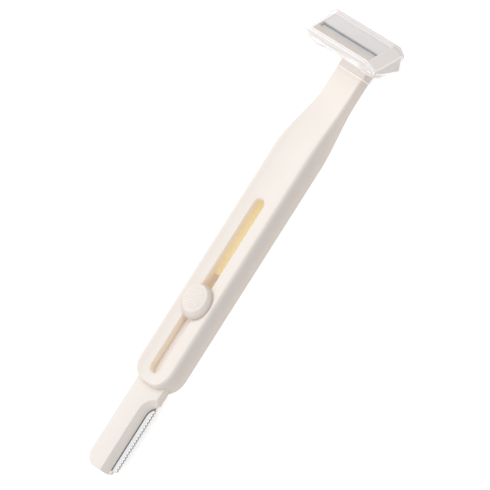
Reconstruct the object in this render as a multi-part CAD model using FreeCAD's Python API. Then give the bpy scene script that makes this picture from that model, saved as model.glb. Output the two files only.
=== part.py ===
"""Two-ended eyebrow and face razor: a slide-out straight blade and a capped T-shaped head.

Frame: X across the handle, Y along it towards the T-shaped head, Z out of the slotted face.
The origin is on the flat back, under the middle of the thumb slot. Lengths are in millimetres.
"""
import FreeCAD, Part
import math
import os

V = FreeCAD.Vector

# Handle moulding
HANDLE_WIDTH = 16.3
HANDLE_THICK = 6.5
SIDE_WALL = 1.9
NOSE_OVERHANG = 3.7
NOSE_CORNER_R = 6.2
FACE_EDGE_R = 1.6
BACK_EDGE_R = 0.8
DISH_DEPTH = 0.5
DISH_LAND = 0.25
NECK_DISH_DEPTH = 0.06
STRAIGHT_PAST_SLOT = 15.9
TAPER_LENGTH = 22.0
TAPER_SECTIONS = 8
NECK_LENGTH = 9.3
NECK_WIDTH = 12.1
NECK_THICK = 3.5
NECK_EDGE_R = 0.9

# Thumb slot and channel in the handle, and the tenon at the neck's end
SLOT_LENGTH = 59.2
SLOT_WIDTH = 3.65
SLOT_EDGE_R = 0.35
SLOT_EASING_SHARE = 0.98
CHANNEL_SIDE_GAP = 0.15
CHANNEL_FACE_GAP = 0.12
CHANNEL_END_GAP = 0.8
TENON_LENGTH = 3.6
TENON_SIDE_WALL = 2.05
TENON_SKIN = 0.8
TENON_GAP = 0.05

# Back cover
COVER_THICK = 1.3
COVER_LEDGE = 0.65
COVER_GAP = 0.05
COVER_NOSE_SETBACK = 3.1
COVER_END_MARGIN = 2.4
COVER_CORNER_R = 1.6
TRACK_GAP = 0.08
TRACK_DEPTH = 0.4
NOTCH_DEPTH = 0.2
NOTCH_GAP = 0.2

# Blade carrier and its spring arm
CARRIER_LENGTH = 66.2
CARRIER_THICK = 2.8
CARRIER_TIP_R = 4.0
CARRIER_EDGE_R = 0.45
KNOB_TO_REAR = 9.3
ARM_WIDTH = 3.0
ARM_LENGTH = 5.2
ARM_SLIT = 0.6
ARM_THIN = 1.3
NUB_R = 0.9
NUB_DROP = 0.3
NUB_CHAMFER = 0.24
BEVEL_TOP_INSET = 4.6
BEVEL_FLOOR_INSET = 2.6
BEVEL_RUNOUT_R = 6.0
BEVEL_RUNOUT_BACK = 3.6

# Eyebrow blade, its clamp strip, its rivets and its guard comb
BLADE_RISE = 0.8
BLADE_THICK = 0.25
BLADE_LENGTH = 22.2
BLADE_WIDTH = 4.72
BLADE_TIP_MARGIN = 1.7
BLADE_HONE = 0.7
BLADE_CORNER_R = 1.2
HONED_EDGE_SHARE = 0.2
SEAT_GAP = 0.04
CLAMP_WIDTH = 6.8
CLAMP_EDGE_INSET = 1.9
CLAMP_LIP = 0.9
RIVET_R = 0.5
RIVET_HEAD_R = 0.85
RIVET_HEAD_H = 0.25
RIVET_FROM_BACK = 1.2
RIVET_COUNT = 3
RIVET_DEPTH = 0.55
COMB_TO_CLAMP = 0.1
COMB_TO_EDGE = 0.12
COMB_LEAF = 0.22
COMB_UPRIGHT = 0.26
COMB_PITCH = 1.0
COMB_TOOTH = 0.5
COMB_UPPER_LEG = 0.22
COMB_GAP = 0.05

# Thumb knob: its place along the slot is the one it is shown at
KNOB_Y = -4.9
KNOB_R = 4.5
KNOB_UNDER_GAP = 0.14
KNOB_SIDE_H = 1.45
KNOB_CROWN_H = 0.25
KNOB_EDGE_R = 0.4
KNOB_RIB_PITCH = 0.62
KNOB_RIB_DEPTH = 0.2
STEM_SIDE_GAP = 0.175
STEM_END_GAP = 0.15
STEM_TAIL_R = 1.2
STEM_TAIL_GAP = 0.05

# Tilted T-shaped head and its clear cap
HEAD_TILT = 36.5
HEAD_DEPTH = 11.5
HEAD_TOP_Z = 7.83
HEAD_NECK_GAP = 0.1
FACE_LENGTH = 11.45
CROWN_RUN = 3.9
CROWN_DROP = 2.4
CROWN_R = 2.0
RIDGE_R = 0.45
FRONT_BEVEL_RUN = 2.0
FRONT_WALL_HEIGHT = 0.4
FRONT_CORNER_R = 2.8
TOP_WALL_HEIGHT = 1.3
CAP_WIDTH = 34.3
CAP_WALL = 0.6
CAP_GAP = 0.15
REAR_CORNER_SETBACK = 5.2
REAR_CORNER_Z = 3.7
LOWER_WALL_END_DROP = 5.94
LOWER_WALL_MID_DROP = 9.74
LOWER_WALL_MID_INSET = 6.15
LOBE_INSET = 5.6
LOBE_DROP = 6.8
LOBE_R = 3.3
LOBE_BULGE = 0.75
LOBE_ROOT = 0.9
SADDLE_LENGTH = 2.6
SADDLE_WALL = 0.8
SADDLE_ROOF = 1.05
SADDLE_GAP = 0.12
SADDLE_FRONT_GAP = 0.35
SADDLE_FOOT_Z = 0.4

# What the head's base holds, from its lip up to its top
PLATE_MARGIN = 3.55
LIP_INSET = 0.425
LIP_WIDTH = 1.1
GUARD_WIDTH = 1.7
GUARD_DEPTH = 1.0
GUARD_PROUD = 0.05
GUARD_GROOVES = 3
GUARD_GROOVE_R = 0.12
RINSE_GAP = 0.9
HEAD_BLADE_THICK = 0.25
HEAD_BLADE_SHOWN = 1.3
HEAD_BLADE_BACK_INSET = 0.9
HEAD_BLADE_HONE = 0.6
PLATE_TOP_INSET = 1.725
PLATE_THICK = 0.8
PLATE_SINK = 0.12
WINDOW_PITCH = 4.8
WINDOW_WIDTH = 3.1
WINDOW_HEIGHT = 1.5
STAKE_R = 0.6
STAKE_INSET = 2.5
STAKE_MARGIN = 4.0
STAKE_LENGTH = 1.3
STAKE_GAP = 0.04
HUB_WEB_R = 3.0

# One overrun for all cuts, and how near two lengths are to count as the same
CUT = 5.0
NEAR = 0.0005

# Places along and across the handle
half_w = HANDLE_WIDTH / 2
neck_half = NECK_WIDTH / 2
slot_half = SLOT_LENGTH / 2
nose_y = -slot_half - NOSE_OVERHANG
straight_end_y = slot_half + STRAIGHT_PAST_SLOT
taper_end_y = straight_end_y + TAPER_LENGTH
neck_end_y = taper_end_y + NECK_LENGTH
dish_z = HANDLE_THICK - DISH_DEPTH
dish_half = half_w - FACE_EDGE_R - DISH_LAND
dish_r = (dish_half ** 2 + DISH_DEPTH ** 2) / (2 * DISH_DEPTH)
channel_half = half_w - SIDE_WALL
carrier_half = channel_half - CHANNEL_SIDE_GAP
cover_half = channel_half + COVER_LEDGE
tenon_half = neck_half - TENON_SIDE_WALL
tenon_z1 = NECK_THICK - TENON_SKIN

# Places of the slider
carrier_z0 = COVER_THICK + CHANNEL_FACE_GAP
carrier_z1 = carrier_z0 + CARRIER_THICK
channel_z1 = carrier_z1 + CHANNEL_FACE_GAP
carrier_y1 = KNOB_Y + KNOB_TO_REAR
carrier_y0 = carrier_y1 - CARRIER_LENGTH
nub_y = carrier_y1 - NUB_R
stem_r = SLOT_WIDTH / 2 - STEM_SIDE_GAP
slide_reach = slot_half - stem_r - STEM_END_GAP
slide_in = slide_reach - KNOB_Y
slide_out = -slide_reach - KNOB_Y
channel_end_y = carrier_y1 + slide_in + CHANNEL_END_GAP
cover_y0 = nose_y + COVER_NOSE_SETBACK
cover_y1 = channel_end_y + COVER_END_MARGIN
blade_y0 = carrier_y0 + BLADE_TIP_MARGIN
blade_y1 = blade_y0 + BLADE_LENGTH
blade_z1 = carrier_z0 + BLADE_RISE
blade_z0 = blade_z1 - BLADE_THICK
blade_edge_x = carrier_half - COMB_UPRIGHT - COMB_TO_EDGE
blade_back_x = blade_edge_x - BLADE_WIDTH
clamp_x1 = carrier_half - CLAMP_EDGE_INSET
clamp_x0 = clamp_x1 - CLAMP_WIDTH
clamp_y1 = blade_y1 + CLAMP_LIP
comb_back_x = clamp_x1 + COMB_TO_CLAMP
bevel_top_x = carrier_half - BEVEL_TOP_INSET
bevel_axis_x = bevel_top_x + BEVEL_RUNOUT_R
bevel_floor_x = carrier_half - BEVEL_FLOOR_INSET
bevel_axis_y = blade_y1 - BEVEL_RUNOUT_BACK

# Places of the head: u runs up its tilted face and n out of it, both from the face's middle
tilt = math.radians(HEAD_TILT)
cap_half = CAP_WIDTH / 2
wall_y = neck_end_y + HEAD_NECK_GAP
head_top_y = wall_y + HEAD_DEPTH
rear_y = wall_y + REAR_CORNER_SETBACK
cap_lip_z = HEAD_TOP_Z + HEAD_DEPTH * math.tan(tilt)
cheek = math.atan2(CROWN_DROP, CROWN_RUN)
wall_end_z = cap_lip_z - LOWER_WALL_END_DROP
top_wall_z = HEAD_TOP_Z - TOP_WALL_HEIGHT
wall_mid_z = cap_lip_z - LOWER_WALL_MID_DROP
lobe_z = cap_lip_z - LOBE_DROP
saddle_z1 = NECK_THICK + SADDLE_FRONT_GAP
base_inset = CAP_WALL + CAP_GAP
base_half = cap_half - base_inset
base_front_y = wall_y + base_inset
plate_half = base_half - PLATE_MARGIN
stake_x = plate_half - STAKE_MARGIN
window_count = int(2 * plate_half / WINDOW_PITCH)
lip_u = LIP_INSET - FACE_LENGTH / 2
guard_u0 = lip_u + LIP_WIDTH
gap_u0 = guard_u0 + GUARD_WIDTH
edge_u = gap_u0 + RINSE_GAP
plate_u0 = edge_u + HEAD_BLADE_SHOWN
plate_u1 = FACE_LENGTH / 2 - PLATE_TOP_INSET
stake_u = plate_u1 - STAKE_INSET
base_top_u = plate_u1 + CAP_WALL
face_n = -base_inset
plate_n = face_n - PLATE_SINK
blade_n = plate_n - PLATE_THICK
seat_n = blade_n - HEAD_BLADE_THICK - SEAT_GAP


def box(x0, x1, y0, y1, z0, z1):
    """A block between two corners."""
    return Part.makeBox(x1 - x0, y1 - y0, z1 - z0, V(x0, y0, z0))


def polygon_edges(points):
    """Straight edges round a closed list of corners."""
    return [Part.makeLine(a, b) for a, b in zip(points, points[1:] + points[:1])]


def prism(points, along):
    """A closed polygon pushed along a vector."""
    return Part.Face(Part.Wire(polygon_edges(points))).extrude(along)


def plate_xz(corners, y0, y1):
    """An outline given in X and Z, from y0 to y1."""
    return prism([V(x, y0, z) for x, z in corners], V(0, y1 - y0, 0))


def bar_yz(corners, half):
    """An outline given in Y and Z, from -half to +half across the object."""
    return prism([V(-half, y, z) for y, z in corners], V(2 * half, 0, 0))


def stadium(half_width, y0, y1, z0, z1):
    """A slot-shaped block along Y with round ends."""
    body = box(-half_width, half_width, y0 + half_width, y1 - half_width, z0, z1)
    for y in (y0 + half_width, y1 - half_width):
        body = body.fuse(Part.makeCylinder(half_width, z1 - z0, V(0, y, z0)))
    return body.removeSplitter()


def rounded_plate(x0, x1, y0, y1, z0, z1, radius):
    """A block whose upright edges are round."""
    body = box(x0, x1, y0, y1, z0, z1)
    upright = [e for e in body.Edges if abs(e.BoundBox.ZLength - (z1 - z0)) < NEAR]
    return body.makeFillet(radius, upright)


def save(shape, name):
    """Writes one node, after a check that it is sound."""
    if not shape.isValid():
        print("not valid:", name)
    shape.exportStep("parts/" + name + ".step")
    print(name, "solids", len(shape.Solids), "volume", round(shape.Volume, 2))


def head_point(x, u, n):
    """A point of the tilted head, u up its face and n out of it from the face's middle."""
    up = V(0, math.cos(tilt), -math.sin(tilt))
    out = V(0, math.sin(tilt), math.cos(tilt))
    return V(x, head_top_y, HEAD_TOP_Z) + up * (u - FACE_LENGTH / 2) + out * n


def head_normal():
    """The direction out of the tilted face."""
    return head_point(0, 0, 1) - head_point(0, 0, 0)


def head_bar(corners, x0, x1):
    """An outline given in the head's u and n, pushed across from x0 to x1."""
    return prism([head_point(x0, u, n) for u, n in corners], V(x1 - x0, 0, 0))


def head_block(x0, x1, u0, u1, n0, n1):
    """A block square to the head's tilted face."""
    return head_bar([(u0, n0), (u1, n0), (u1, n1), (u0, n1)], x0, x1)


def side_point(u, n):
    """Y and Z of a point given in the head's u and n."""
    point = head_point(0, u, n)
    return point.y, point.z


def corner_arc(y, x, z, step_x, step_z):
    """A quarter circle in the section at y, from (x, z) to (x + step_x, z + step_z), leaving along Z."""
    bow = 1 - math.sqrt(0.5)
    middle = V(x + step_x * bow, y, z + step_z * (1 - bow))
    return Part.Arc(V(x, y, z), middle, V(x + step_x, y, z + step_z)).toShape()


def handle_section(share):
    """Rounded cross-section of the handle, share of the way down the taper from body to neck."""
    step = share * share * (3 - 2 * share)
    y = straight_end_y + share * TAPER_LENGTH
    w = half_w + (neck_half - half_w) * step
    h = HANDLE_THICK + (NECK_THICK - HANDLE_THICK) * step
    r = FACE_EDGE_R + (NECK_EDGE_R - FACE_EDGE_R) * step
    dish = DISH_DEPTH + (NECK_DISH_DEPTH - DISH_DEPTH) * step
    b = BACK_EDGE_R
    brim = w - r - DISH_LAND
    edges = [
        Part.makeLine(V(b - w, y, 0), V(w - b, y, 0)),
        corner_arc(y, w, b, -b, -b),
        Part.makeLine(V(w, y, b), V(w, y, h - r)),
        corner_arc(y, w, h - r, -r, r),
        Part.makeLine(V(w - r, y, h), V(brim, y, h)),
        Part.Arc(V(brim, y, h), V(0, y, h - dish), V(-brim, y, h)).toShape(),
        Part.makeLine(V(-brim, y, h), V(r - w, y, h)),
        corner_arc(y, -w, h - r, r, r),
        Part.makeLine(V(-w, y, h - r), V(-w, y, b)),
        corner_arc(y, -w, b, b, -b),
    ]
    return Part.Wire(Part.sortEdges(edges)[0])


def handle_blank():
    """The handle before it is hollowed: round nose, dished face, and the loft down to the thin neck."""
    body = box(-half_w, half_w, nose_y, straight_end_y, 0, HANDLE_THICK)
    corners = [e for e in body.Edges if e.BoundBox.YMax < 0 and e.BoundBox.ZLength > NEAR
               and e.BoundBox.XLength < NEAR and e.BoundBox.YLength < NEAR]
    body = body.makeFillet(NOSE_CORNER_R, corners)
    for level, radius in ((HANDLE_THICK, FACE_EDGE_R), (0, BACK_EDGE_R)):
        rim = [e for e in body.Edges if abs(e.BoundBox.ZMin - level) + abs(e.BoundBox.ZMax - level) < NEAR
               and e.BoundBox.YMin < straight_end_y - NEAR]
        body = body.makeFillet(radius, rim)
    sections = [handle_section(i / TAPER_SECTIONS) for i in range(TAPER_SECTIONS + 1)]
    taper = Part.makeLoft(sections, True, False)
    neck = Part.Face(handle_section(1)).extrude(V(0, neck_end_y - taper_end_y, 0))
    y0 = nose_y - CUT
    top = HANDLE_THICK
    bow = Part.Arc(V(-dish_half, y0, top), V(0, y0, dish_z), V(dish_half, y0, top)).toShape()
    lid = polygon_edges([V(dish_half, y0, top), V(dish_half, y0, top + CUT),
                         V(-dish_half, y0, top + CUT), V(-dish_half, y0, top)])[:3]
    trough = Part.Face(Part.Wire([bow] + lid)).extrude(V(0, straight_end_y + CUT - y0, 0))
    return body.cut(trough).fuse([taper, neck])


def thumb_slot():
    """The cutter for the thumb slot, with an eased top edge."""
    hole = stadium(SLOT_WIDTH / 2, -slot_half, slot_half, COVER_THICK, dish_z)
    easing = stadium(SLOT_WIDTH / 2 + SLOT_EDGE_R, -slot_half - SLOT_EDGE_R, slot_half + SLOT_EDGE_R,
                     dish_z - SLOT_EDGE_R, dish_z + CUT)
    low = [e for e in easing.Edges if e.BoundBox.ZMax < dish_z - SLOT_EDGE_R / 2]
    return hole.fuse(easing.makeChamfer(SLOT_EDGE_R * SLOT_EASING_SHARE, low))


def handle_shell():
    """Front moulding: face, side walls, nose arch and neck, open at the back for the cover."""
    body = handle_blank()
    body = body.cut(box(-channel_half, channel_half, nose_y - CUT, channel_end_y, COVER_THICK, channel_z1))
    body = body.cut(rounded_plate(-cover_half - COVER_GAP, cover_half + COVER_GAP, cover_y0 - COVER_GAP,
                                  cover_y1 + COVER_GAP, -CUT, COVER_THICK, COVER_CORNER_R))
    body = body.cut(thumb_slot())
    tenon = box(-tenon_half, tenon_half, neck_end_y, neck_end_y + TENON_LENGTH, TENON_SKIN, tenon_z1)
    return body.fuse(tenon).removeSplitter()


def back_cover():
    """Flat cover of the channel, with the track and notches that the slider's nub runs in."""
    body = rounded_plate(-cover_half, cover_half, cover_y0, cover_y1, 0, COVER_THICK, COVER_CORNER_R)
    track_z = COVER_THICK - TRACK_DEPTH
    track_half = NUB_R + TRACK_GAP
    overrun = NUB_R + NOTCH_GAP
    body = body.cut(stadium(track_half, nub_y + slide_out - overrun, nub_y + slide_in + overrun, track_z,
                            COVER_THICK + CUT))
    for travel in (slide_out, 0, slide_in):
        foot = V(0, nub_y + travel, track_z - NOTCH_DEPTH)
        body = body.cut(Part.makeCylinder(NUB_R + NOTCH_GAP, CUT, foot))
    return body


def blade_bay():
    """Cutter for the bevelled bay in front of the blade, with its round run-out."""
    floor = bevel_axis_x - bevel_floor_x
    brim = bevel_axis_x - bevel_top_x
    flare = brim + (brim - floor) * CUT / (carrier_z1 - blade_z1)
    section = [(0, blade_z1), (floor, blade_z1), (flare, carrier_z1 + CUT), (0, carrier_z1 + CUT)]
    straight = plate_xz([(bevel_axis_x - r, z) for r, z in section], carrier_y0 - CUT, bevel_axis_y)
    face = Part.Face(Part.Wire(polygon_edges([V(bevel_axis_x - r, bevel_axis_y, z) for r, z in section])))
    turned = face.revolve(V(bevel_axis_x, bevel_axis_y, 0), V(0, 0, 1), -180)
    return straight.fuse(turned)


def rivet_places():
    """Where the blade's rivets stand."""
    step = BLADE_LENGTH / RIVET_COUNT
    return [(blade_back_x + RIVET_FROM_BACK, blade_y0 + step * (i + 0.5)) for i in range(RIVET_COUNT)]


def clamp_block(grow, z0):
    """The clamp strip's outline from z0 up to the blade, grown sideways by a clearance for its recess."""
    return rounded_plate(clamp_x0 - grow, clamp_x1 + grow, blade_y0 - CLAMP_LIP / 2 - grow, clamp_y1 + grow,
                         z0, blade_z0 - SEAT_GAP, CLAMP_LIP)


def blade_carrier():
    """Flat sliding bar: knob hole, spring arm, blade bay and the recess for the clamp strip."""
    body = box(-carrier_half, carrier_half, carrier_y0, carrier_y1, carrier_z0, carrier_z1)
    tips = [e for e in body.Edges if e.BoundBox.ZLength > CARRIER_THICK / 2 and e.BoundBox.YMax < 0]
    body = body.makeFillet(CARRIER_TIP_R, tips)
    rim = [e for e in body.Edges if e.BoundBox.ZLength < NEAR and e.BoundBox.YMin < carrier_y1 - NEAR]
    body = body.makeFillet(CARRIER_EDGE_R, rim)
    reach = carrier_half + CUT
    under = box(clamp_x1, reach, carrier_y0 - CUT, clamp_y1, carrier_z0 - CUT, blade_z1)
    seat = box(blade_back_x - SEAT_GAP, reach, blade_y0 - SEAT_GAP, blade_y1 + SEAT_GAP,
               blade_z0 - 2 * SEAT_GAP, blade_z1 + SEAT_GAP)
    body = body.cut(blade_bay()).cut(under).cut(clamp_block(SEAT_GAP, carrier_z0 - CUT)).cut(seat)
    for x, y in rivet_places():
        body = body.cut(Part.makeCylinder(RIVET_R + SEAT_GAP, RIVET_DEPTH + SEAT_GAP, V(x, y, blade_z1)))
    body = body.cut(Part.makeCylinder(STEM_TAIL_R + STEM_TAIL_GAP, CARRIER_THICK + CUT,
                                      V(0, KNOB_Y, carrier_z0 - CUT / 2)))
    arm_y = carrier_y1 - ARM_LENGTH
    for side in (-1, 1):
        x0 = side * (ARM_WIDTH + ARM_SLIT) / 2 - ARM_SLIT / 2
        body = body.cut(box(x0, x0 + ARM_SLIT, arm_y, carrier_y1 + CUT, carrier_z0 - CUT, carrier_z1 + CUT))
    body = body.cut(box(-ARM_WIDTH / 2, ARM_WIDTH / 2, arm_y, carrier_y1 + CUT,
                        carrier_z0 + ARM_THIN, carrier_z1 + CUT))
    nub = Part.makeCylinder(NUB_R, NUB_DROP + ARM_THIN / 2, V(0, nub_y, carrier_z0 - NUB_DROP))
    nub = nub.makeChamfer(NUB_CHAMFER, [e for e in nub.Edges if e.BoundBox.ZMax < carrier_z0])
    return body.fuse(nub).removeSplitter()


def blade_clamp():
    """Strip under the blade that the rivets pull up."""
    body = clamp_block(0, carrier_z0)
    foot = [e for e in body.Edges if e.BoundBox.ZMax < carrier_z0 + NEAR]
    body = body.makeChamfer(COMB_LEAF, foot)
    for x, y in rivet_places():
        body = body.cut(Part.makeCylinder(RIVET_R + SEAT_GAP, CUT, V(x, y, carrier_z0)))
        body = body.cut(Part.makeCylinder(RIVET_HEAD_R + SEAT_GAP, RIVET_HEAD_H, V(x, y, carrier_z0)))
    return body


def blade_rivets():
    """Small rivets through the clamp and the blade into the carrier."""
    pins = []
    for x, y in rivet_places():
        pin = Part.makeCylinder(RIVET_R, BLADE_RISE + RIVET_DEPTH, V(x, y, carrier_z0))
        head = Part.makeCylinder(RIVET_HEAD_R, RIVET_HEAD_H, V(x, y, carrier_z0))
        pins.append(pin.fuse(head).removeSplitter())
    return Part.makeCompound(pins)


def honed_section(back, edge, hone, low, high):
    """Corners of a blade's section: flat at the back, honed from both sides to a narrow edge."""
    middle = (low + high) / 2
    sharp = (high - low) * HONED_EDGE_SHARE / 2
    return [(back, low), (hone, low), (edge, middle - sharp), (edge, middle + sharp), (hone, high),
            (back, high)]


def eyebrow_blade():
    """Thin strip with a honed long edge, round corners and rivet holes."""
    section = honed_section(blade_back_x, blade_edge_x, blade_edge_x - BLADE_HONE, blade_z0, blade_z1)
    body = plate_xz(section, blade_y0, blade_y1)
    body = body.common(rounded_plate(blade_back_x, blade_edge_x + BLADE_THICK, blade_y0, blade_y1,
                                     blade_z0 - CUT, blade_z1 + CUT, BLADE_CORNER_R))
    for x, y in rivet_places():
        body = body.cut(Part.makeCylinder(RIVET_R + SEAT_GAP, CUT, V(x, y, blade_z0 - CUT / 2)))
    return body


def guard_comb():
    """Fine comb that wraps the blade's edge: a leaf under it and hooked teeth over it."""
    top = blade_z1 + COMB_GAP + COMB_UPPER_LEG
    low = blade_z0 - COMB_GAP - COMB_LEAF
    outer = carrier_half
    inner = outer - COMB_UPRIGHT
    tip = inner - COMB_UPRIGHT
    y0 = blade_y0 + COMB_PITCH / 2
    y1 = blade_y1 - BLADE_CORNER_R / 2
    hook = [(comb_back_x, low), (outer - COMB_LEAF, low), (outer, low + COMB_LEAF),
            (outer, top - COMB_UPPER_LEG / 2), (outer - COMB_UPPER_LEG / 2, top), (tip, top),
            (tip, top - COMB_UPPER_LEG), (inner, top - COMB_UPPER_LEG), (inner, low + COMB_LEAF),
            (comb_back_x, low + COMB_LEAF)]
    gaps = []
    for i in range(int((y1 - y0) / COMB_PITCH)):
        y = y0 + COMB_TOOTH + i * COMB_PITCH
        gaps.append(box(tip - COMB_GAP, outer + CUT, y, y + COMB_PITCH - COMB_TOOTH, low - CUT, top + CUT))
    return plate_xz(hook, y0, y1).cut(gaps)


def thumb_knob():
    """Round ribbed knob with its stem through the slot and a tail pressed in the carrier."""
    under = dish_z + KNOB_R ** 2 / (2 * dish_r) + KNOB_UNDER_GAP
    rim = under + KNOB_SIDE_H
    crown_r = (KNOB_R ** 2 + KNOB_CROWN_H ** 2) / (2 * KNOB_CROWN_H)
    body = Part.makeCylinder(KNOB_R, KNOB_SIDE_H + KNOB_CROWN_H, V(0, KNOB_Y, under))
    body = body.common(Part.makeSphere(crown_r, V(0, KNOB_Y, rim + KNOB_CROWN_H - crown_r)))
    top = [e for e in body.Edges if e.BoundBox.ZMin > rim - NEAR and e.BoundBox.XLength > KNOB_R]
    body = body.makeFillet(KNOB_EDGE_R, top)
    grooves = []
    half = KNOB_RIB_PITCH / 4
    reach = KNOB_R + CUT
    count = int(2 * KNOB_R / KNOB_RIB_PITCH)
    for i in range(count):
        y = KNOB_Y + (i - (count - 1) / 2) * KNOB_RIB_PITCH
        z = rim + KNOB_CROWN_H - KNOB_RIB_DEPTH - (y - KNOB_Y) ** 2 / (2 * crown_r)
        high = z + KNOB_RIB_DEPTH + half
        grooves.append(prism([V(-reach, y, z), V(-reach, y + half, high), V(-reach, y - half, high)],
                             V(2 * reach, 0, 0)))
    body = body.cut(grooves)
    stem = Part.makeCylinder(stem_r, under - carrier_z1, V(0, KNOB_Y, carrier_z1))
    tail = Part.makeCylinder(STEM_TAIL_R, CARRIER_THICK, V(0, KNOB_Y, carrier_z0))
    return body.fuse([stem, tail]).removeSplitter()


def crown(inset):
    """The head seen along its face: flat in the middle, a cheek falling to a ridge at each end.

    Drawn in by inset on every side, and long enough to run past the head both ways.
    """
    flat = cap_half - CROWN_RUN - inset * math.tan(cheek / 2)
    half = cap_half - inset
    ridge_n = -(CROWN_RUN - inset) * math.tan(cheek) - inset / math.cos(cheek)
    right = [(flat, -inset), (half, ridge_n), (half, -HEAD_DEPTH - CUT)]
    reach = FACE_LENGTH + CUT
    outline = right + [(-x, n) for x, n in reversed(right)]
    along = head_point(0, reach, 0) - head_point(0, -reach, 0)
    body = prism([head_point(x, -reach, n) for x, n in outline], along)
    soft = [e for e in body.Edges if e.BoundBox.XLength < NEAR and abs(abs(e.BoundBox.XMin) - flat) < NEAR]
    return body.makeFillet(CROWN_R - inset, soft)


def head_form(inset, below):
    """The head drawn in by inset: tilted face, bevel to the front wall, crown and round front corners."""
    pane_y, pane_z = side_point(0, -inset)
    top_y = head_top_y - inset
    front_y = wall_y + inset
    bevel_y = front_y + FRONT_BEVEL_RUN
    top_z = pane_z + (pane_y - top_y) * math.tan(tilt)
    bevel_z = pane_z + (pane_y - bevel_y) * math.tan(tilt)
    body = bar_yz([(top_y, top_z), (bevel_y, bevel_z), (front_y, wall_end_z + FRONT_WALL_HEIGHT)] + below,
                  cap_half - inset)
    corners = [e for e in body.Edges if e.BoundBox.XLength < NEAR and e.BoundBox.YLength < NEAR
               and abs(e.BoundBox.YMin - front_y) < NEAR]
    return body.makeFillet(FRONT_CORNER_R - inset, corners).common(crown(inset))


def hub():
    """Stalk that joins the neck to the back of the head, with its socket face at the neck's end."""
    x = -neck_half
    heel = V(x, rear_y + CAP_GAP + HUB_WEB_R / 2, REAR_CORNER_Z + CAP_GAP)
    inside = head_point(x, 0, seat_n)
    bend = Part.BezierCurve()
    bend.setPoles([V(x, neck_end_y, 0), V(x, neck_end_y + HUB_WEB_R, 0),
                   V(x, rear_y + CAP_GAP, heel.z / 2), heel])
    p = [heel, inside, V(x, base_front_y + CAP_WALL, inside.z), V(x, base_front_y, NECK_THICK),
         V(x, neck_end_y, NECK_THICK), V(x, neck_end_y, 0)]
    edges = [bend.toShape()] + [Part.makeLine(a, b) for a, b in zip(p, p[1:])]
    return Part.Face(Part.Wire(edges)).extrude(V(NECK_WIDTH, 0, 0))


def rinse_windows():
    """Windows behind the lip, from the blade gap out through the wall before it."""
    gap = head_point(0, (gap_u0 + edge_u) / 2, seat_n)
    cuts = []
    for i in range(window_count):
        x = (i - (window_count - 1) / 2) * WINDOW_PITCH
        cuts.append(box(x - WINDOW_WIDTH / 2, x + WINDOW_WIDTH / 2, wall_y - CUT, gap.y,
                        gap.z - WINDOW_HEIGHT, gap.z))
    return cuts


def stake_pins(radius, low, high):
    """Round pins square to the tilted face, from low to high, where the cover plate's stakes stand."""
    return [Part.makeCylinder(radius, high - low, head_point(x, stake_u, low), head_normal())
            for x in (-stake_x, 0, stake_x)]


def head_base():
    """T-shaped moulding of the face razor: blade seat, guard seat, rinse gap and windows."""
    below = [(base_front_y, wall_end_z + CAP_GAP), (rear_y, REAR_CORNER_Z + CAP_GAP),
             (head_top_y - base_inset, top_wall_z + CAP_GAP)]
    body = head_form(base_inset, below).fuse(hub())
    body = body.cut(head_block(-plate_half, plate_half, gap_u0, plate_u1 + SEAT_GAP, seat_n, CUT))
    body = body.cut(head_block(-plate_half, plate_half, guard_u0 - SEAT_GAP, gap_u0 + SEAT_GAP,
                               face_n - GUARD_DEPTH - SEAT_GAP, CUT))
    rinse = head_block(-plate_half, plate_half, gap_u0, edge_u, seat_n - WINDOW_HEIGHT / 2, CUT)
    body = body.cut([rinse] + rinse_windows())
    body = body.cut(stake_pins(STAKE_R + STAKE_GAP, seat_n - STAKE_LENGTH - STAKE_GAP, CUT))
    socket = box(-tenon_half - TENON_GAP, tenon_half + TENON_GAP, neck_end_y - CUT,
                 neck_end_y + TENON_LENGTH + TENON_GAP, TENON_SKIN - TENON_GAP, tenon_z1 + TENON_GAP)
    return body.cut(socket).removeSplitter()


def cover_plate():
    """White plate over the head's blade, with three stakes into the base."""
    body = head_block(-plate_half + SEAT_GAP, plate_half - SEAT_GAP, plate_u0, plate_u1, blade_n, plate_n)
    return body.fuse(stake_pins(STAKE_R, seat_n - STAKE_LENGTH, blade_n + SEAT_GAP)).removeSplitter()


def head_blade():
    """Thin blade of the face razor, honed at its front and holed for the stakes."""
    half = plate_half - 2 * SEAT_GAP
    section = honed_section(plate_u1 - HEAD_BLADE_BACK_INSET, edge_u, edge_u + HEAD_BLADE_HONE,
                            seat_n + SEAT_GAP / 2, blade_n - SEAT_GAP / 2)
    return head_bar(section, -half, half).cut(stake_pins(STAKE_R + STAKE_GAP, seat_n - CUT, CUT))


def guard_strip():
    """Soft guard in front of the blade, with fine lengthwise grooves."""
    top = face_n + GUARD_PROUD
    half = plate_half - SEAT_GAP
    body = head_block(-half, half, guard_u0, gap_u0, face_n - GUARD_DEPTH, top)
    step = GUARD_WIDTH / (GUARD_GROOVES + 1)
    for i in range(GUARD_GROOVES):
        start = head_point(-plate_half, guard_u0 + step * (i + 1), top)
        body = body.cut(Part.makeCylinder(GUARD_GROOVE_R, 2 * plate_half, start, V(1, 0, 0)))
    return body


def cap_lower_wall():
    """Upright wall before the lip: wide above and drawn in to the saddle."""
    half = cap_half - FRONT_CORNER_R
    mid_x = cap_half - LOWER_WALL_MID_INSET
    saddle = neck_half + SADDLE_GAP + SADDLE_WALL
    right = [(half, wall_end_z + CAP_WALL), (half, wall_end_z), (mid_x, wall_mid_z),
             (saddle, saddle_z1 + SADDLE_ROOF), (saddle - SADDLE_WALL, saddle_z1)]
    return plate_xz(right + [(-x, z) for x, z in reversed(right)], wall_y, wall_y + CAP_WALL)


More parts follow.
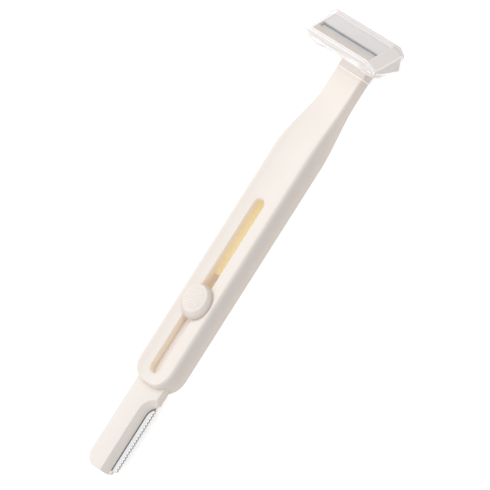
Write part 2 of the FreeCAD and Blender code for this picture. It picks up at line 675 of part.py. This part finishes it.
def cap_lobes():
    """Two shallow domes on the lower wall, one near each end, that a thumb pushes the cap off by."""
    ball_r = (LOBE_R ** 2 + LOBE_BULGE ** 2) / (2 * LOBE_BULGE)
    foot = math.degrees(math.asin((ball_r - LOBE_BULGE - LOBE_ROOT) / ball_r))
    x = cap_half - LOBE_INSET
    centres = [V(side * x, wall_y + ball_r - LOBE_BULGE, lobe_z) for side in (-1, 1)]
    return [Part.makeSphere(ball_r, centre, V(0, -1, 0), foot, 90, 360) for centre in centres]


def cap_saddle():
    """Clip that straddles the neck from the front, open at the back."""
    inner = neck_half + SADDLE_GAP
    outer = inner + SADDLE_WALL
    y0 = wall_y - SADDLE_LENGTH
    y1 = wall_y + CAP_WALL
    z1 = saddle_z1 + SADDLE_ROOF
    body = box(-outer, outer, y0, y1, SADDLE_FOOT_Z, z1)
    fronts = [e for e in body.Edges if e.BoundBox.YLength > SADDLE_LENGTH / 2 and e.BoundBox.ZMin > z1 - NEAR]
    body = body.makeFillet(SADDLE_WALL, fronts)
    return body.cut(box(-inner, inner, y0 - CUT, y1 + CUT, -CUT, saddle_z1))


def head_cap():
    """Clear cap over the face razor: pane, end walls, top wall, lower wall, lobes and neck saddle."""
    closed = [(wall_y, wall_end_z), (rear_y, REAR_CORNER_Z), (head_top_y, top_wall_z)]
    open_below = [(wall_y + CAP_WALL, -CUT), (head_top_y - CAP_WALL, -CUT)]
    outside = head_form(0, closed)
    ridges = [e for e in outside.Edges if e.BoundBox.XLength < NEAR and abs(e.BoundBox.XMax) > cap_half - NEAR
              and e.BoundBox.YLength > CROWN_RUN and e.BoundBox.Center.z > HEAD_TOP_Z]
    outside = outside.makeFillet(RIDGE_R, ridges).fuse([cap_lower_wall()] + cap_lobes())
    return outside.cut(head_form(CAP_WALL, open_below)).fuse(cap_saddle()).removeSplitter()


def main():
    """Builds every piece and writes one file for each."""
    os.makedirs("parts", exist_ok=True)
    save(handle_shell(), "handle_shell")
    save(back_cover(), "back_cover")
    save(blade_carrier(), "blade_carrier")
    save(blade_clamp(), "blade_clamp")
    save(blade_rivets(), "blade_rivets")
    save(eyebrow_blade(), "eyebrow_blade")
    save(guard_comb(), "guard_comb")
    save(thumb_knob(), "thumb_knob")
    save(head_base(), "head_base")
    save(cover_plate(), "cover_plate")
    save(head_blade(), "head_blade")
    save(guard_strip(), "guard_strip")
    save(head_cap(), "head_cap")
    print("slide in", slide_in, "slide out", slide_out, "channel end", channel_end_y)


main()
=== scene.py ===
"""Eyebrow and face razor in ivory plastic: looks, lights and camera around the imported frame.

Lengths are in metres, and MM turns millimetres into them.
"""
import math

import bmesh
import bpy
import numpy as np
from mathutils import Matrix, Vector


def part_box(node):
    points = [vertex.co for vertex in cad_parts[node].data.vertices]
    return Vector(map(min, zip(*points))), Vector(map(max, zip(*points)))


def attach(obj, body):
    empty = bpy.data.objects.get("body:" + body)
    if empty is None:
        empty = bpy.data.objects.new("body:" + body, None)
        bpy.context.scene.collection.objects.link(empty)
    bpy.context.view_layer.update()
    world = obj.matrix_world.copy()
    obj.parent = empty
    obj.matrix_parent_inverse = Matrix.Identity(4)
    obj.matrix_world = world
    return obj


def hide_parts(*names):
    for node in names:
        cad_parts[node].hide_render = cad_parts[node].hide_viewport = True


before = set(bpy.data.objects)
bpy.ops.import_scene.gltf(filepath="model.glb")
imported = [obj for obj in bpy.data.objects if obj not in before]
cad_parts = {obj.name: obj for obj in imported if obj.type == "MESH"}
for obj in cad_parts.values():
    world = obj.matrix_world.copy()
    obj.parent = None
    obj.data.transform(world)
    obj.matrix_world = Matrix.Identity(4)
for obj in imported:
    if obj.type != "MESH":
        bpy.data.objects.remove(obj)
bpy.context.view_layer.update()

MM = 0.001


def linear(hex_colour):
    """sRGB hex to linear red, green, blue and alpha, by the standard's own curve."""
    parts = [int(hex_colour[i:i + 2], 16) / 255 for i in (1, 3, 5)]
    return [c / 12.92 if c <= 0.04045 else ((c + 0.055) / 1.055) ** 2.4 for c in parts] + [1.0]


def add(tree, kind, settings=(), inputs=()):
    """One node with its settings and its inputs, by the socket's name or place.

    An input is a plain value, or another node's output, which is then linked.
    """
    node = tree.nodes.new(kind)
    for name, value in dict(settings).items():
        setattr(node, name, value)
    for socket, source in dict(inputs).items():
        if isinstance(source, bpy.types.NodeSocket):
            tree.links.new(source, node.inputs[socket])
        else:
            node.inputs[socket].default_value = source
    return node


# Places of the Mix node's colour sockets, whose names are shared with its other sockets
MIX_FACTOR = 0
MIX_FIRST = 6
MIX_SECOND = 7
MIX_RESULT = 2


def blend(tree, first, second, factor):
    """A colour that goes from the first to the second as the factor goes from 0 to 1."""
    mix = add(tree, "ShaderNodeMix", {"data_type": "RGBA"},
              {MIX_FACTOR: factor, MIX_FIRST: first, MIX_SECOND: second})
    return mix.outputs[MIX_RESULT]


def calculate(tree, operation, *terms):
    """The result of one sum on values or outputs."""
    return add(tree, "ShaderNodeMath", {"operation": operation}, dict(enumerate(terms))).outputs[0]


def remap(tree, value, start=0.0, end=1.0, low=0.0, high=1.0, smooth=False):
    """A value that goes from low to high as the input goes from start to end."""
    kind = "SMOOTHSTEP" if smooth else "LINEAR"
    inputs = {"Value": value, "From Min": start, "From Max": end, "To Min": low, "To Max": high}
    return add(tree, "ShaderNodeMapRange", {"interpolation_type": kind}, inputs).outputs[0]


def noise(tree, place, scale, detail):
    """Soft noise between 0 and 1."""
    inputs = {"Vector": place, "Scale": scale, "Detail": detail}
    return add(tree, "ShaderNodeTexNoise", inputs=inputs).outputs["Fac"]


OPENNESS_SAMPLES = 8


def openness(tree, reach, alone=False):
    """1 in the open and less in corners; alone counts only the piece's own walls."""
    return add(tree, "ShaderNodeAmbientOcclusion", {"samples": OPENNESS_SAMPLES, "only_local": alone},
               {"Distance": reach}).outputs["AO"]


def object_place(tree):
    """The object's own coordinates."""
    return add(tree, "ShaderNodeTexCoord").outputs["Object"]


def material(name, **values):
    """A material whose Principled shader has these values; its tree, and the shader."""
    mat = bpy.data.materials.new(name)
    mat.use_nodes = True
    shader = mat.node_tree.nodes["Principled BSDF"]
    for socket, value in values.items():
        shader.inputs[socket.replace("_", " ")].default_value = value
    return mat, mat.node_tree, shader


def connect(tree, shader, **outputs):
    """Links outputs to the shader's sockets of these names."""
    for socket, output in outputs.items():
        tree.links.new(output, shader.inputs[socket.replace("_", " ")])


# Moulded plastic: what counts as a corner, how much painted shade and painted glow it takes, and how fine
# and uneven the skin is
CORNER_REACH = 3.0 * MM
CORNER_CLOSED = 0.15
CORNER_OPEN = 0.75
PAINTED_CORNER_GLOW = 0.16
PLASTIC_IOR = 1.49
PLASTIC_DETAIL = 2.0
GRAIN_SMOOTHER = 0.05
GRAIN_ROUGHER = 0.07
GRAIN_STRENGTH = 0.12
GRAIN_HEIGHT = 0.02 * MM


def moulded_plastic(name, base, shade, corner_shade, roughness, grain_mm=0.35, mottle_mm=6.0, alone=False):
    """Injection-moulded plastic: a satin skin with faint flow mottling and a fine spark-eroded grain.

    The eye sees a soft broad highlight, a colour that drifts by a shade over some millimetres, and no
    mirror image. In slots and corners the colour is painted deeper and warmer as painted shade, and given
    a faint painted glow, standing for light that bounces between pale walls and comes through them.
    alone counts only the piece's own walls.
    """
    mat, tree, shader = material(name, Roughness=roughness, IOR=PLASTIC_IOR, Emission_Color=linear(corner_shade))
    place = object_place(tree)
    mottle = noise(tree, place, 1 / (mottle_mm * MM), PLASTIC_DETAIL)
    grain = noise(tree, place, 1 / (grain_mm * MM), PLASTIC_DETAIL)
    tone = blend(tree, linear(base), linear(shade), mottle)
    # Painted shade and glow in corners: occlusion turns the colour towards the deeper, warmer corner
    # colour and adds a faint painted glow
    corner = remap(tree, openness(tree, CORNER_REACH, alone), CORNER_CLOSED, CORNER_OPEN, 1.0, 0.0)
    corner_shaded_tone = blend(tree, tone, linear(corner_shade), corner)
    polish = remap(tree, grain, low=roughness - GRAIN_SMOOTHER, high=roughness + GRAIN_ROUGHER)
    bump = add(tree, "ShaderNodeBump",
               inputs={"Strength": GRAIN_STRENGTH, "Distance": GRAIN_HEIGHT, "Height": grain}).outputs[0]
    connect(tree, shader, Base_Color=corner_shaded_tone, Roughness=polish, Normal=bump,
            Emission_Strength=calculate(tree, "MULTIPLY", corner, PAINTED_CORNER_GLOW))
    return mat


def add_painted_glow(mat, glow):
    """More painted glow from a moulded plastic, emission on top of what its corners give off."""
    tree = mat.node_tree
    shader = tree.nodes["Principled BSDF"]
    before = shader.inputs["Emission Strength"].links[0].from_socket
    connect(tree, shader, Emission_Strength=calculate(tree, "ADD", before, glow))


def paint_glow_by_height(mat, start, end, colour, strength):
    """Painted glow between two heights, in millimetres above the back, standing for thin plastic lit from
    behind.
    """
    tree = mat.node_tree
    height = add(tree, "ShaderNodeSeparateXYZ", inputs={0: object_place(tree)}).outputs["Z"]
    add_painted_glow(mat, remap(tree, height, start * MM, end * MM, high=strength, smooth=True))
    tree.nodes["Principled BSDF"].inputs["Emission Color"].default_value = linear(colour)


def paint_light_and_shade_on_upright_walls(mat, side, half_width, colour, strength):
    """Upright walls nearer to the middle, or farther out, than a half width in millimetres take a painted
    colour.

    Within the slot it is painted light, the warm tone and glow of light which bounces between warm walls,
    and outside it is painted shade, that of a side turned away. side is LESS_THAN for the first and
    GREATER_THAN for the second.
    """
    tree = mat.node_tree
    shader = tree.nodes["Principled BSDF"]
    source = add(tree, "ShaderNodeTexCoord")
    where = add(tree, "ShaderNodeSeparateXYZ", inputs={0: source.outputs["Object"]}).outputs["X"]
    facing = add(tree, "ShaderNodeSeparateXYZ", inputs={0: source.outputs["Normal"]}).outputs["X"]
    chosen = calculate(tree, side, calculate(tree, "ABSOLUTE", where), half_width * MM)
    wall = calculate(tree, "MULTIPLY", chosen, calculate(tree, "ABSOLUTE", facing))
    skin = shader.inputs["Base Color"].links[0].from_socket
    connect(tree, shader, Base_Color=blend(tree, skin, linear(colour), wall))
    add_painted_glow(mat, calculate(tree, "MULTIPLY", wall, strength))


# Ground steel: how long its lines are against their pitch, and the painted shade line where it goes under
# plastic
LINE_STRETCH = 60
LINE_DETAIL = 3.0
LINE_SMOOTHER = 0.06
LINE_ROUGHER = 0.10
LINE_STRENGTH = 0.10
LINE_HEIGHT = 0.01 * MM
SEAM_REACH = 0.7 * MM
SEAM_CLOSED = 0.62
SEAM_OPEN = 0.9
PAINTED_SEAM_SHADE = "#4A4848"


def ground_steel(name, bright, dull, roughness, lines_along, line_mm=0.12):
    """Stainless strip with a ground finish: fine lines one way, so the highlight spreads across them.

    Real grinding lines are some hundredths of a millimetre apart; these are drawn coarser so that they
    show. Where the strip goes in under plastic its colour is painted dark by its occlusion, a painted
    shade that stands for the dark gap it mirrors there, so a dark line follows the seam.
    """
    mat, tree, shader = material(name, Metallic=1.0, Roughness=roughness)
    stretch = [1 / (line_mm * MM)] * 3
    stretch[lines_along] = 1 / (LINE_STRETCH * line_mm * MM)
    place = add(tree, "ShaderNodeMapping",
                inputs={"Vector": object_place(tree), "Scale": stretch}).outputs[0]
    lines = noise(tree, place, 1.0, LINE_DETAIL)
    tone = blend(tree, linear(bright), linear(dull), lines)
    # Painted shade: occluded steel near the seam is darkened towards the seam tone
    seam_shade = remap(tree, openness(tree, SEAM_REACH), SEAM_CLOSED, SEAM_OPEN, 1.0, 0.0)
    polish = remap(tree, lines, low=roughness - LINE_SMOOTHER, high=roughness + LINE_ROUGHER)
    bump = add(tree, "ShaderNodeBump",
               inputs={"Strength": LINE_STRENGTH, "Distance": LINE_HEIGHT, "Height": lines}).outputs[0]
    connect(tree, shader, Base_Color=blend(tree, tone, linear(PAINTED_SEAM_SHADE), seam_shade), Roughness=polish,
            Normal=bump)
    return mat


# Clear cap: its tilted face, its far rim, and how a wall's turn from the eye makes it show
HEAD_TILT = 36.5
HEAD_RIM_LEVEL = 7.83 * MM
RIM_REACH = 1.2 * MM
RIM_BLEND = 0.5 * MM
CLEAR_ROUGHNESS = 0.08
CLEAR_IOR = 1.59
TURN_BLEND = 0.5
TURN_UNSEEN = 0.42
TURN_SEEN = 0.75


def rim_of_cap(tree):
    """0 over the face and 1 along the cap's far rim, by the distance from it along the tilted face."""
    tilt = math.radians(HEAD_TILT)
    along_face = Vector((0, math.cos(tilt), -math.sin(tilt)))
    rim = along_face.dot(Vector((0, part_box("head_cap")[1][1], HEAD_RIM_LEVEL)))
    place = add(tree, "ShaderNodeVectorMath", {"operation": "DOT_PRODUCT"},
                {0: object_place(tree), 1: along_face}).outputs["Value"]
    return remap(tree, place, rim - RIM_REACH, rim - RIM_REACH + RIM_BLEND)


def clear_plastic(name, tint, rim_shade, faint, strong, glow):
    """Clear moulded polystyrene: almost unseen face on, milky and bright where it is seen edgeways.

    How far a wall turns from the eye sets how much of it covers what lies behind. Along the far rim the
    walls are painted dense at every angle, in a greyer painted shade of their own, standing for the wall
    seen lengthways. The shadow is only as dense as the face. A faint painted glow stands for the light
    that runs inside the walls and leaves at their edges.
    """
    mat, tree, shader = material(name, Roughness=CLEAR_ROUGHNESS, IOR=CLEAR_IOR,
                                 Emission_Color=linear(tint))
    turned = add(tree, "ShaderNodeLayerWeight", inputs={"Blend": TURN_BLEND}).outputs["Facing"]
    cover = remap(tree, turned, TURN_UNSEEN, TURN_SEEN, faint, strong, smooth=True)
    rim = rim_of_cap(tree)
    # Painted denseness along the far rim, whatever the angle
    cover = calculate(tree, "MAXIMUM", cover, calculate(tree, "MULTIPLY", rim, strong))
    rays = add(tree, "ShaderNodeLightPath").outputs
    unseen = calculate(tree, "MAXIMUM", rays["Is Shadow Ray"], rays["Is Diffuse Ray"])
    alpha = calculate(tree, "MULTIPLY", cover, remap(tree, unseen, low=1.0, high=faint))
    connect(tree, shader, Base_Color=blend(tree, linear(tint), linear(rim_shade), rim), Alpha=alpha,
            Emission_Strength=calculate(tree, "MULTIPLY", alpha, glow))
    return mat


def dress(node, mat):
    """Gives a carried-over solid its finish."""
    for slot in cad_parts[node].material_slots:
        slot.material = mat


def put(name, data):
    """A new object with this data, linked to the scene."""
    item = bpy.data.objects.new(name, data)
    bpy.context.scene.collection.objects.link(item)
    return item


# Thumb button: the solid's stem and height, with a wider foot that leans out, a softer edge and round ribs
BUTTON_Y = -4.9 * MM
BUTTON_FOOT_R = 5.5 * MM
BUTTON_FOOT_BACK = 0.7 * MM
BUTTON_FOOT_SIDE = 0.7 * MM
BUTTON_R = 4.6 * MM
BUTTON_EDGE_R = 0.5 * MM
BUTTON_CROWN = 0.25 * MM
RIB_PITCH = 0.62 * MM
RIB_DEPTH = 0.12 * MM
RIB_MARGIN = 0.5 * MM
STEM_R = 1.65 * MM
TAIL_R = 1.2 * MM
TAIL_RISE = 2.8 * MM
FACE_LEVEL = 6.5 * MM
BUTTON_UNDER_GAP = 0.14 * MM
BUTTON_LIP = 0.2 * MM
EDGE_POINTS = 9
CROWN_POINTS = 90
TURN_POINTS = 360


def thumb_button(name, mat):
    """Round ribbed button on its stem, turned from one outline.

    The outline runs from the tail's foot up the stem, out under the button, up its leaning side, round
    the edge and in over a shallow crown. On the crown the height drops by a cosine of y over the rib
    pitch, which fades out near the edge. The rings outside the stem are shifted sideways and back in
    proportion to their depth below the brim, so that the foot stands out on the side that is seen.
    """
    low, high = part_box("thumb_knob")
    foot, top = low[2], high[2]
    brim = top - BUTTON_CROWN
    under = FACE_LEVEL + BUTTON_UNDER_GAP
    flat_r = BUTTON_R - BUTTON_EDGE_R
    turn = np.linspace(0, math.pi / 2, EDGE_POINTS)
    edge = np.stack([flat_r + BUTTON_EDGE_R * np.cos(turn),
                     brim - BUTTON_EDGE_R + BUTTON_EDGE_R * np.sin(turn)], axis=1)
    reach = np.linspace(1, 0, CROWN_POINTS)[1:] * flat_r
    crown = np.stack([reach, brim + BUTTON_CROWN * (1 - (reach / flat_r) ** 2)], axis=1)
    corners = np.array([[0, foot], [TAIL_R, foot], [TAIL_R, foot + TAIL_RISE],
                        [STEM_R, foot + TAIL_RISE], [STEM_R, under],
                        [BUTTON_FOOT_R - BUTTON_LIP, under], [BUTTON_FOOT_R, under + BUTTON_LIP]])
    outline = np.concatenate([corners, edge, crown[:-1]])
    angle = np.linspace(0, 2 * math.pi, TURN_POINTS, endpoint=False)
    radius, height = outline[:, 0, None], outline[:, 1, None]
    x = radius * np.cos(angle)
    y = radius * np.sin(angle)
    fade = np.clip((BUTTON_R - RIB_MARGIN - np.hypot(x, y)) / RIB_MARGIN, 0, 1)
    on_crown = height > brim + 0 * x
    z = height - on_crown * fade * RIB_DEPTH * (0.5 - 0.5 * np.cos(2 * math.pi * y / RIB_PITCH))
    drop = np.clip((brim - height) / (brim - under), 0, 1) * (radius > STEM_R)
    x = x + BUTTON_FOOT_SIDE * drop
    y = y - BUTTON_FOOT_BACK * drop
    return turned_piece(name, x[1:], y[1:] + BUTTON_Y, z[1:], (0, BUTTON_Y, foot), (0, BUTTON_Y, top), mat)


def turned_piece(name, x, y, z, first, last, mat):
    """A closed mesh of rings, each joined to the next, with a fan at both poles."""
    rings, steps = x.shape
    body = np.stack([x, y, z], axis=-1).reshape(-1, 3)
    points = np.concatenate([body, [first, last]])
    i = np.arange(steps)
    j = np.roll(i, -1)
    row = np.arange(rings - 1)[:, None] * steps
    quads = np.stack([row + i, row + j, row + steps + j, row + steps + i], axis=-1).reshape(-1, 4)
    bottom, top = rings * steps, rings * steps + 1
    lower = np.stack([np.full(steps, bottom), j, i], axis=-1)
    end = (rings - 1) * steps
    upper = np.stack([np.full(steps, top), end + i, end + j], axis=-1)
    mesh = bpy.data.meshes.new(name)
    mesh.from_pydata(points.tolist(), [], quads.tolist() + lower.tolist() + upper.tolist())
    mesh.shade_smooth()
    mesh.materials.append(mat)
    return put(name, mesh)


# Bay in front of the blade: the same sizes as the carrier's bevel has in the solid
BAY_FLOOR_INSET = 2.6 * MM
BAY_TOP_INSET = 4.6 * MM
BAY_RUNOUT_R = 6.0 * MM
BAY_RUNOUT_BACK = 3.6 * MM
BAY_END_INSET = 0.5 * MM
SEAM_WIDTH = 0.42 * MM
SEAM_RISE = 0.03 * MM
ARC_POINTS = 24


def blade_seam_shadow_strip(name, mat):
    """Dark strip of painted shadow where the steel strip goes in under the carrier.

    A flat four-sided profile carried along the foot of the bevel: straight beside the blade, then an arc
    about the run-out's axis until it meets the carrier's edge.
    """
    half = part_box("blade_carrier")[1][0]
    blade_low, blade_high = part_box("eyebrow_blade")
    axis_x = half - BAY_TOP_INSET + BAY_RUNOUT_R
    axis_y = blade_high[1] - BAY_RUNOUT_BACK
    radius = axis_x - (half - BAY_FLOOR_INSET)
    last = math.acos((axis_x - half + BAY_END_INSET) / radius)
    turn = np.concatenate([[0, 0], np.linspace(0, last, ARC_POINTS)[1:]])
    path = np.stack([axis_x - radius * np.cos(turn), axis_y + radius * np.sin(turn), 0 * turn], axis=1)
    path[0, 1] = blade_low[1]
    inward = np.stack([np.cos(turn), -np.sin(turn), 0 * turn], axis=1)
    top = blade_high[2]
    profile = np.array([[0, top - SEAM_RISE], [SEAM_WIDTH, top - SEAM_RISE],
                        [SEAM_WIDTH, top + SEAM_RISE], [0, top + SEAM_RISE]])
    rings = path[:, None] + profile[None, :, :1] * inward[:, None]
    rings[..., 2] += profile[:, 1]
    count, sides = rings.shape[:2]
    i = np.arange(sides)
    j = np.roll(i, -1)
    row = np.arange(count - 1)[:, None] * sides
    quads = np.stack([row + i, row + sides + i, row + sides + j, row + j], axis=-1).reshape(-1, 4)
    ends = [i.tolist(), (i[::-1] + (count - 1) * sides).tolist()]
    mesh = bpy.data.meshes.new(name)
    mesh.from_pydata(rings.reshape(-1, 3).tolist(), [], quads.tolist() + ends)
    mesh.materials.append(mat)
    return put(name, mesh)


# Rounded copies of solids: how near points are welded, what counts as flat, and which edges are rounded
WELD_REACH = 0.002 * MM
FLAT_DEGREES = 1
EDGE_SEGMENTS = 3
LEAST_EDGE_DEGREES = 25


def softened(name, node, radius, mat):
    """A copy of a solid with its triangles welded, its flat faces joined and its edges rounded."""
    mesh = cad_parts[node].data.copy()
    mesh.name = name
    form = bmesh.new()
    form.from_mesh(mesh)
    bmesh.ops.remove_doubles(form, verts=form.verts, dist=WELD_REACH)
    bmesh.ops.dissolve_limit(form, angle_limit=math.radians(FLAT_DEGREES), verts=form.verts,
                             edges=form.edges)
    form.to_mesh(mesh)
    form.free()
    mesh.materials.clear()
    mesh.materials.append(mat)
    mesh.shade_smooth()
    piece = put(name, mesh)
    bevel = piece.modifiers.new("rounded_edges", "BEVEL")
    bevel.width = radius
    bevel.segments = EDGE_SEGMENTS
    bevel.limit_method = "ANGLE"
    bevel.angle_limit = math.radians(LEAST_EDGE_DEGREES)
    bevel.harden_normals = True
    return piece


# Finishes. The heights and half widths of the painted glows and painted shades are in millimetres
SIDE_GLOW_FROM = 5.0
SIDE_GLOW_TO = 0.6
SLOT_HALF_WIDTH = 2.6
SIDE_HALF_WIDTH = 4.5
COVER_GLOW_FROM = 0.7
COVER_GLOW_TO = 0.95

ivory = moulded_plastic("ivory_moulded_polypropylene", "#F3ECE5", "#F1E8E0", "#F0DABC", 0.42, alone=True)
# Painted glow: the sides glow more towards the bottom, standing for light coming through the thin walls
paint_glow_by_height(ivory, SIDE_GLOW_FROM, SIDE_GLOW_TO, "#F3E2D2", 0.13)
# Painted light on the slot's walls and painted shade on the outer sides
paint_light_and_shade_on_upright_walls(ivory, "LESS_THAN", SLOT_HALF_WIDTH, "#EFE0CB", 0.12)
paint_light_and_shade_on_upright_walls(ivory, "GREATER_THAN", SIDE_HALF_WIDTH, "#E6DDD6", 0.0)
cover_ivory = moulded_plastic("thin_ivory_moulded_polypropylene", "#F2EBE4", "#EFE4D8", "#EEE2C4", 0.45,
                              alone=True)
# Painted glow on the back cover's inner face, a warm yellow light seen through the slot
paint_glow_by_height(cover_ivory, COVER_GLOW_FROM, COVER_GLOW_TO, "#F0E2A2", 0.36)
carrier_ivory = moulded_plastic("carrier_moulded_polypropylene", "#F3ECE6", "#F1E8E1", "#EAD8BF", 0.40)
knob_ivory = moulded_plastic("knob_moulded_polypropylene", "#F3ECE5", "#F1E8E0", "#E4CDB4", 0.45,
                             mottle_mm=3.0)
head_white = moulded_plastic("white_moulded_abs", "#E3E0E1", "#DEDBDC", "#D8D2D2", 0.36, alone=True)
head_ivory = moulded_plastic("ivory_moulded_abs", "#F6F0ED", "#F3EBE7", "#F0E4DD", 0.40, alone=True)
clear = clear_plastic("clear_moulded_polystyrene", "#ECE7E6", "#CFC8C9", 0.13, 0.8, 0.22)
# Painted highlight: the cap's rounded edges are made brighter, denser and glowing
edge_highlight = clear_plastic("painted_highlight_on_clear_polystyrene_edges", "#FBF8F7", "#D8D2D2", 0.6, 0.95, 0.45)
blade_steel = ground_steel("ground_stainless_razor_strip", "#D2D2D3", "#C3C3C5", 0.46, 1)
head_steel = ground_steel("ground_stainless_shaver_strip", "#DCDEE2", "#CED1D5", 0.34, 0)
comb_steel = ground_steel("pressed_stainless_comb", "#DCDCDC", "#CACACB", 0.42, 1)
guard = moulded_plastic("beige_moulded_elastomer", "#D6CFC6", "#CFC7BD", "#D8CCBB", 0.62, grain_mm=0.5,
                        alone=True)
# Painted shadow: the dark tone of the strip laid in the gap beside the blade
gap_shade = moulded_plastic("shaded_gap_beside_the_blade", "#7E7775", "#736C6A", "#5F5957", 0.75,
                            mottle_mm=3.0)

for node in ("handle_shell", "blade_clamp"):
    dress(node, ivory)
dress("back_cover", cover_ivory)
dress("blade_carrier", carrier_ivory)
dress("head_base", head_ivory)
dress("guard_strip", guard)
dress("eyebrow_blade", blade_steel)
dress("head_blade", head_steel)
dress("guard_comb", comb_steel)
dress("blade_rivets", comb_steel)
dress("cover_plate", head_white)
dress("head_cap", clear)
dress("thumb_knob", knob_ivory)

# Edge roundings of the softened pieces
CARRIER_EDGE_R = 0.35 * MM
CAP_EDGE_R = 0.22 * MM
CAP_LEAST_EDGE_DEGREES = 40
PLATE_EDGE_R = 0.15 * MM

button = thumb_button("thumb_button", knob_ivory)
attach(button, "slider")
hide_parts("thumb_knob")

# Painted shadow strip at the blade's seam, riding with the slider
seam_shade = blade_seam_shadow_strip("blade_seam_shadow_strip", gap_shade)
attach(seam_shade, "slider")

carrier = softened("ivory_blade_carrier", "blade_carrier", CARRIER_EDGE_R, carrier_ivory)
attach(carrier, "slider")
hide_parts("blade_carrier")

# The cap's roundings take the second material, a painted highlight along its edges
cap = softened("clear_cap", "head_cap", CAP_EDGE_R, clear)
cap.data.materials.append(edge_highlight)
cap_bevel = cap.modifiers["rounded_edges"]
cap_bevel.material = 1
cap_bevel.use_clamp_overlap = False
cap_bevel.angle_limit = math.radians(CAP_LEAST_EDGE_DEGREES)
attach(cap, "cap")
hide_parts("head_cap")

plate = softened("white_cover_plate", "cover_plate", PLATE_EDGE_R, head_white)
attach(plate, "handle")
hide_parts("cover_plate")


# Camera: the photograph's view, found from the handle's slot, knob, tip and head
IMAGE_SIZE = 490
PIXEL = 0.29 * MM
LEAN = (0.5358, 0.8443)
TURN = (0.731, -0.682)
ORIGIN_PIXEL = (208.0, 288.0)
ACROSS_AT_ORIGIN = -2.5
ALONG_AT_ORIGIN = 1.0
CAMERA_DISTANCE = 4.0
CLIP_NEAR = 0.01
CLIP_FAR = 10


def make_camera():
    """Looks down on the slotted face from the blade edge's side, with the handle leaning in the frame."""
    across = Vector((TURN[0], 0, TURN[1]))
    along = Vector((0, 1, 0))
    right = LEAN[1] * across + LEAN[0] * along
    up = LEAN[1] * along - LEAN[0] * across
    back = right.cross(up)
    middle = IMAGE_SIZE / 2
    dx, dy = middle - ORIGIN_PIXEL[0], ORIGIN_PIXEL[1] - middle
    across_pixels = dx * LEAN[1] - dy * LEAN[0]
    along_pixels = dx * LEAN[0] + dy * LEAN[1]
    target = (across_pixels - ACROSS_AT_ORIGIN) * PIXEL * across
    target += (along_pixels - ALONG_AT_ORIGIN) * PIXEL * along
    target += Vector((0, 0, FACE_LEVEL))
    data = bpy.data.cameras.new("camera")
    data.lens = data.sensor_width * CAMERA_DISTANCE / (IMAGE_SIZE * PIXEL)
    data.clip_start, data.clip_end = CLIP_NEAR, CLIP_FAR
    cam = put("camera", data)
    turned = Matrix((right, up, back)).transposed().to_4x4()
    cam.matrix_world = Matrix.Translation(target + back * CAMERA_DISTANCE) @ turned
    bpy.context.scene.camera = cam


def area_light(name, place, size, power, target):
    """A soft square white lamp that points at the object."""
    data = bpy.data.lights.new(name, "AREA")
    data.size = size
    data.energy = power
    lamp = put(name, data)
    lamp.location = place
    lamp.rotation_mode = "QUATERNION"
    lamp.rotation_quaternion = (Vector(target) - Vector(place)).to_track_quat("-Z", "Y")


# Studio: the floor just under the part, its own light towards the camera, and the even light around
FLOOR_HALF = 1.5
FLOOR_LEVEL = -0.02 * MM
FLOOR_TONE = "#F2F2F2"
FLOOR_ROUGHNESS = 0.9
FLOOR_GLOW = 0.58
WORLD_STRENGTH = 0.62
WHITE = (1, 1, 1, 1)


def make_stage():
    """A pale floor that the camera sees as white outside the soft shadow, and an even pale world."""
    mesh = bpy.data.meshes.new("floor")
    signs = ((-1, -1), (1, -1), (1, 1), (-1, 1))
    corners = [(x * FLOOR_HALF, y * FLOOR_HALF, FLOOR_LEVEL) for x, y in signs]
    mesh.from_pydata(corners, [], [(0, 1, 2, 3)])
    floor = put("floor", mesh)
    mat, tree, shader = material("floor_paper", Base_Color=linear(FLOOR_TONE), Roughness=FLOOR_ROUGHNESS,
                                 Emission_Color=WHITE)
    rays = add(tree, "ShaderNodeLightPath").outputs
    seen = calculate(tree, "MAXIMUM", rays["Is Camera Ray"], rays["Is Transmission Ray"])
    connect(tree, shader, Emission_Strength=calculate(tree, "MULTIPLY", seen, FLOOR_GLOW))
    mesh.materials.append(mat)
    world = bpy.data.worlds.new("studio")
    world.use_nodes = True
    world.node_tree.nodes["Background"].inputs["Color"].default_value = WHITE
    world.node_tree.nodes["Background"].inputs["Strength"].default_value = WORLD_STRENGTH
    bpy.context.scene.world = world


make_camera()
make_stage()
area_light("key_softbox", place=(-0.44, 0.1, 0.5), size=0.7, power=2.35, target=(0, 0.02, 0))
area_light("head_softbox", place=(0.2, 0.5, 0.5), size=0.5, power=0.45, target=(0, 0.08, 0))
area_light("front_fill", place=(-0.15, -0.7, 0.3), size=0.5, power=0.7, target=(0, 0.05, 0))
bpy.context.scene.view_settings.view_transform = "Standard"
